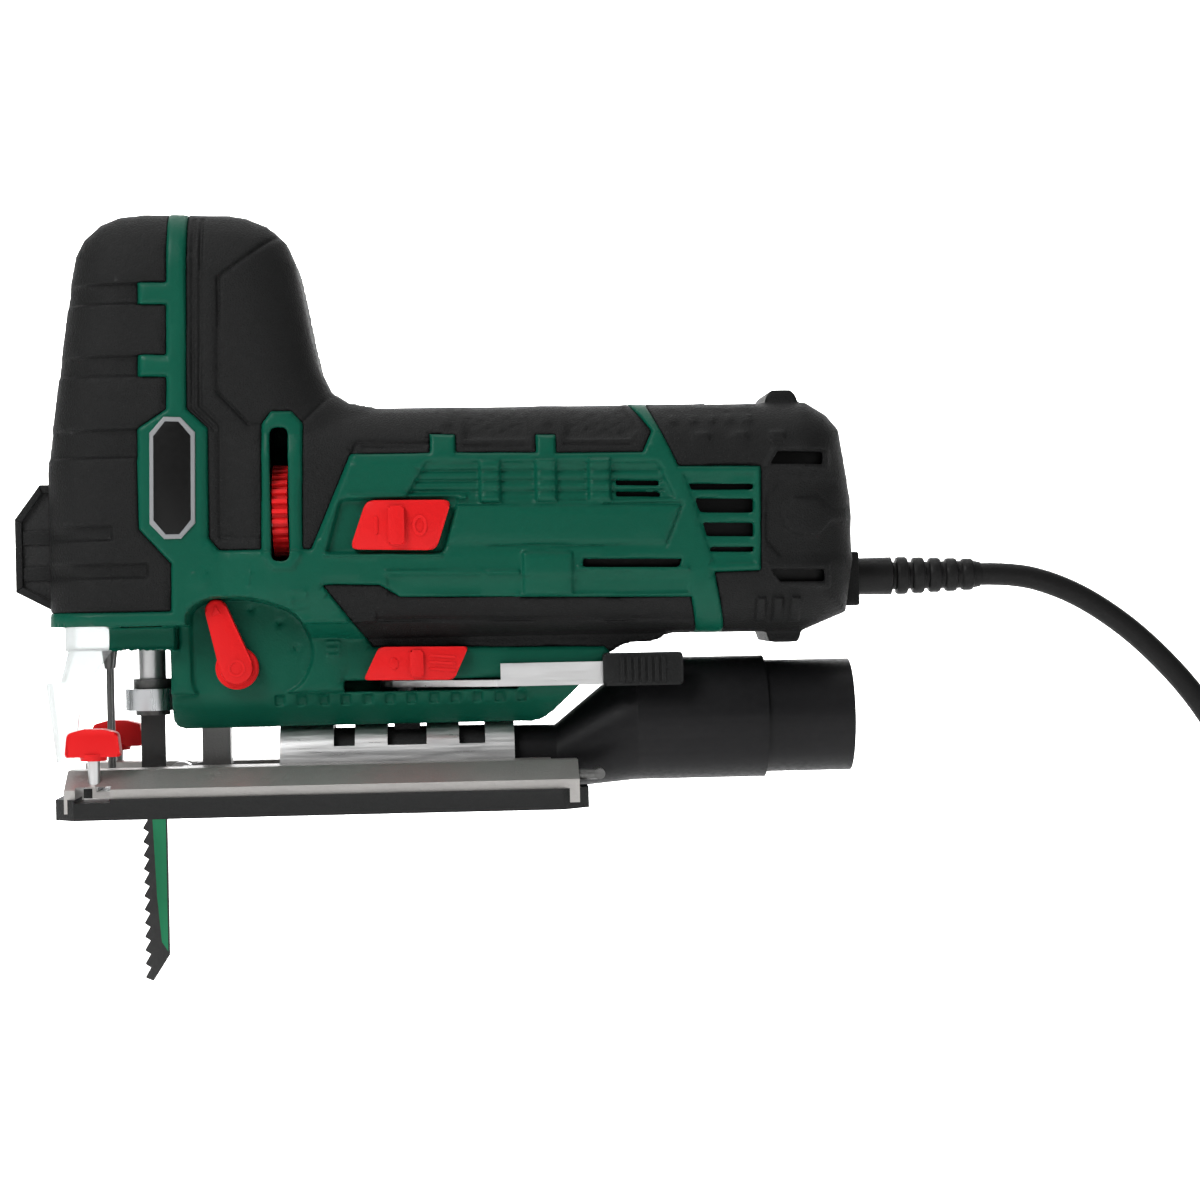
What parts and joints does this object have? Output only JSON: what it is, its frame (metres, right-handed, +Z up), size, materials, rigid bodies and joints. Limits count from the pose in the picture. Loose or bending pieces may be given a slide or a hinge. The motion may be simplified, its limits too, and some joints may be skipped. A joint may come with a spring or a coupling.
{
  "type": "jigsaw power tool",
  "caption": "Barrel-grip electric jigsaw with a tilting base, pendulum guide, keyless blade clamp, dust adapter and a coiled mains cord.",
  "frame": {"origin": "centre of the sole's bottom face, base at 0 degrees", "axes": "+X to the rear, towards the cord; +Z up; the tool's left side faces -Y"},
  "size_m": [0.526, 0.1064, 0.2552],
  "materials": {
    "green_plastic": "satin, finely textured",
    "black_grip": "soft, fine grain",
    "black_plastic": "matt",
    "satin_black": "satin",
    "label_grey": "matt",
    "red_plastic": "satin",
    "clear_plastic": "clear",
    "cast_aluminium": "cast, brushed edges",
    "bright_steel": "ground",
    "dark_steel": "oiled",
    "collar_steel": "satin",
    "laminated_steel": "matt",
    "copper": "bright",
    "carbon": "matt",
    "bronze": "sintered",
    "fan_plastic": "matt",
    "cord_rubber": "matt",
    "pin_brass": "plated"
  },
  "bodies": {
    "housing": {"left_housing_shell": "green_plastic", "right_housing_shell": "green_plastic", "left_front_grip": "black_grip", "right_front_grip": "black_grip", "left_head_grip": "black_grip", "right_head_grip": "black_grip", "left_side_strip": "black_grip", "right_side_strip": "black_grip", "rear_cap": "black_grip", "front_bumper": "black_plastic", "blank_plates": "label_grey", "housing_screws": "bright_steel", "gear_axle": "bright_steel", "gear_plate": "cast_aluminium", "motor_bearings": "bright_steel", "stator_core": "laminated_steel", "field_coils": "copper", "carbon_brushes": "carbon", "plunger_bushings": "bronze", "arm_pivot_pin": "bright_steel", "dust_duct": "black_plastic", "clamp_bolt": "bright_steel", "switch_module": "black_plastic", "speed_controller": "black_plastic", "clear_guard": "clear_plastic", "wire_guard": "dark_steel", "strain_relief": "cord_rubber", "power_cord": "cord_rubber", "cord_coil": "cord_rubber", "coil_tie": "black_plastic", "plug_body": "black_plastic", "plug_pins": "pin_brass"},
    "motor": {"motor_shaft": "bright_steel", "armature_core": "laminated_steel", "commutator": "copper", "cooling_fan": "fan_plastic"},
    "gear": {"drive_gear": "dark_steel", "crank_pin": "bright_steel"},
    "plunger": {"plunger_rod": "bright_steel", "scotch_yoke": "dark_steel", "blade_holder": "dark_steel", "saw_blade": "dark_steel"},
    "collar": {"clamp_collar": "collar_steel"},
    "arm": {"roller_arm": "dark_steel"},
    "roller": {"guide_roller": "bright_steel"},
    "base": {"base_plate": "cast_aluminium", "base_slipper": "black_plastic", "tilt_saddle": "bright_steel"},
    "knob_left": {"fence_knob_left": "red_plastic", "fence_screw_left": "bright_steel"},
    "knob_right": {"fence_knob_right": "red_plastic", "fence_screw_right": "bright_steel"},
    "key": {"hex_key": "dark_steel"},
    "lever": {"clamp_lever": "bright_steel", "lever_handle": "black_plastic"},
    "switch": {"main_switch": "red_plastic"},
    "blower": {"blower_slider": "red_plastic"},
    "wheel": {"speed_wheel": "red_plastic"},
    "pendulum": {"pendulum_lever": "red_plastic"},
    "adapter": {"dust_adapter": "satin_black"}
  },
  "joints": [
    {"name": "motor_spin", "type": "hinge", "parent": "housing", "child": "motor", "pos_m": [0, 0, 0.088], "axis": [1, 0, 0], "continuous": true},
    {"name": "gear_spin", "type": "hinge", "parent": "housing", "child": "gear", "pos_m": [-0.034, 0, 0.116], "axis": [1, 0, 0], "continuous": true},
    {"name": "plunger_stroke", "type": "slide", "parent": "housing", "child": "plunger", "axis": [0, 0, 1], "range_m": [-0.013, 0.007]},
    {"name": "collar_release", "type": "hinge", "parent": "plunger", "child": "collar", "pos_m": [-0.0536, 0, 0.034], "axis": [0, 0, 1], "range_deg": [0, 60], "stiffness_Nm_per_rad": 0.02},
    {"name": "arm_swing", "type": "hinge", "parent": "housing", "child": "arm", "pos_m": [-0.034, 0, 0.035], "axis": [0, -1, 0], "range_deg": [0, 3]},
    {"name": "roller_spin", "type": "hinge", "parent": "arm", "child": "roller", "pos_m": [-0.0451, 0, 0.0105], "axis": [0, 1, 0], "continuous": true},
    {"name": "base_tilt", "type": "hinge", "parent": "housing", "child": "base", "pos_m": [0, 0, 0.014], "axis": [1, 0, 0], "range_deg": [-45, 45]},
    {"name": "fence_knob_left_turn", "type": "hinge", "parent": "base", "child": "knob_left", "pos_m": [-0.0683, -0.0315, 0.02], "axis": [0, 0, 1], "range_deg": [-180, 180]},
    {"name": "fence_knob_right_turn", "type": "hinge", "parent": "base", "child": "knob_right", "pos_m": [-0.0683, 0.0315, 0.02], "axis": [0, 0, 1], "range_deg": [-180, 180]},
    {"name": "hex_key_slide", "type": "slide", "parent": "base", "child": "key", "axis": [1, 0, 0], "range_m": [0, 0.05]},
    {"name": "clamp_lever_swing", "type": "hinge", "parent": "housing", "child": "lever", "pos_m": [0.025, 0, 0.038], "axis": [0, 0, -1], "range_deg": [0, 60]},
    {"name": "main_switch_slide", "type": "slide", "parent": "housing", "child": "switch", "axis": [-1, 0, 0], "range_m": [0, 0.006]},
    {"name": "blower_slide", "type": "slide", "parent": "housing", "child": "blower", "axis": [-1, 0, 0], "range_m": [0, 0.006]},
    {"name": "speed_wheel_turn", "type": "hinge", "parent": "housing", "child": "wheel", "pos_m": [-0.0115, -0.018, 0.0915], "axis": [1, 0, 0], "range_deg": [0, 270]},
    {"name": "pendulum_select", "type": "hinge", "parent": "housing", "child": "pendulum", "pos_m": [-0.0258, -0.02, 0.0441], "axis": [0, 1, 0], "range_deg": [0, 90]},
    {"name": "dust_adapter_slide", "type": "slide", "parent": "housing", "child": "adapter", "axis": [1, 0, 0], "range_m": [0, 0.03]}
  ],
  "couplings": [
    {"joint": "gear_spin", "follows": "motor_spin", "ratio": -0.16667}
  ]
}
